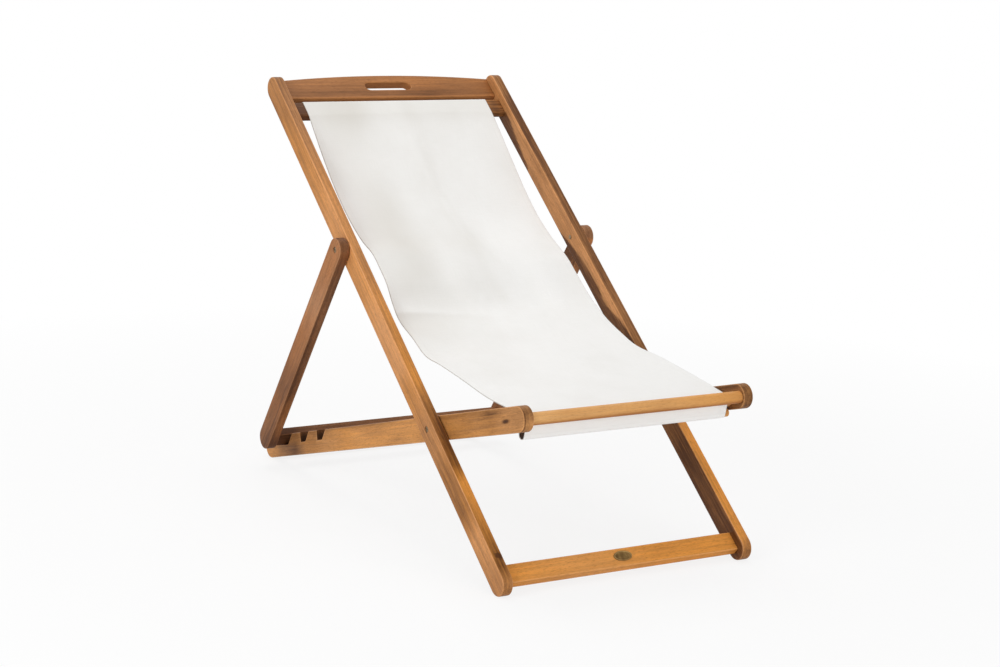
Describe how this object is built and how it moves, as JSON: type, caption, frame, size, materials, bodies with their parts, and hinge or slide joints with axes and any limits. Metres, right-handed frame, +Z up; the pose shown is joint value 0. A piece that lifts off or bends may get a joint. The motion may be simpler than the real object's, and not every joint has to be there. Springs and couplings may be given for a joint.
{
  "type": "sling deck chair",
  "caption": "Folding wooden deck chair: two crossing rail frames, a prop in notched rails and a canvas sling hung from a slotted top rail.",
  "frame": {"origin": "on the floor, midway between the chair's front and rear ends and between its sides", "axes": "+X to the right as seen from in front, +Y rearward from the sitter's feet to the back, +Z up"},
  "size_m": [0.606, 1.0836, 0.8454],
  "materials": {
    "honey_wood": "oiled, satin",
    "golden_wood": "oiled, satin",
    "brown_wood": "oiled, satin",
    "red_wood": "oiled, satin",
    "pale_wood": "oiled, satin",
    "seat_wood": "oiled, satin",
    "brass": "dull",
    "steel": "plain zinc",
    "canvas": "plain woven"
  },
  "bodies": {
    "back_frame": {"left_back_rail": "honey_wood", "right_back_rail": "honey_wood", "top_rail": "brown_wood", "upper_sling_bar": "honey_wood", "bottom_rail": "golden_wood", "oval_plate": "brass", "left_pivot_bolt": "steel", "left_pivot_washer": "steel", "left_pivot_nut": "steel", "right_pivot_bolt": "steel", "right_pivot_washer": "steel", "right_pivot_nut": "steel", "left_prop_bolt": "steel", "left_prop_washer": "steel", "left_prop_nut": "steel", "right_prop_bolt": "steel", "right_prop_washer": "steel", "right_prop_nut": "steel", "upper_hem_rod": "pale_wood", "sling": "canvas"},
    "seat_frame": {"left_seat_rail": "seat_wood", "right_seat_rail": "seat_wood", "front_dowel": "pale_wood", "front_sling_bar": "pale_wood", "rear_stretcher": "seat_wood", "lower_hem_rod": "pale_wood"},
    "prop_frame": {"left_prop_leg": "red_wood", "right_prop_leg": "red_wood", "prop_cross_bar": "red_wood"}
  },
  "joints": [
    {"name": "seat_fold", "type": "hinge", "parent": "back_frame", "child": "seat_frame", "pos_m": [0, -0.23358, 0.24494], "axis": [1, 0, 0], "range_deg": [0, 54.9], "deforming": ["sling"]},
    {"name": "prop_swing", "type": "hinge", "parent": "back_frame", "child": "prop_frame", "pos_m": [0, 0.12747, 0.53254], "axis": [1, 0, 0], "range_deg": [-82, 0]}
  ],
  "couplings": [
    {"joint": "prop_swing", "follows": "seat_fold", "ratio": -1.4918}
  ]
}
